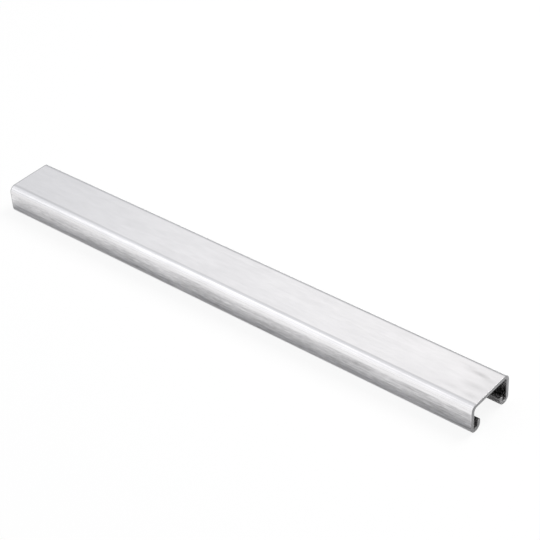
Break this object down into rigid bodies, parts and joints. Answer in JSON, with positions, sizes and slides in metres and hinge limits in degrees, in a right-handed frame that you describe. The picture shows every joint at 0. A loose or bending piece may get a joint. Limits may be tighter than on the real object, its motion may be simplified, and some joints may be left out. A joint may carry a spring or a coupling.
{
  "type": "strut channel",
  "caption": "Shallow galvanized steel strut channel with a solid back, open along one side between two in-turned lips, for channel nuts and pipe clamps.",
  "frame": {"origin": "bottom centre: midway along the length and across the width, at the level of the lips' undersides", "axes": "+X along the length of the channel, +Y across its width, +Z from the slot to the solid back"},
  "size_m": [0.4128, 0.0412, 0.0222],
  "materials": {
    "galvanized_steel": "satin zinc coating with faint cloudy mottling and lengthwise rolling streaks"
  },
  "bodies": {
    "root": {"strut_channel": "galvanized_steel"}
  },
  "joints": []
}
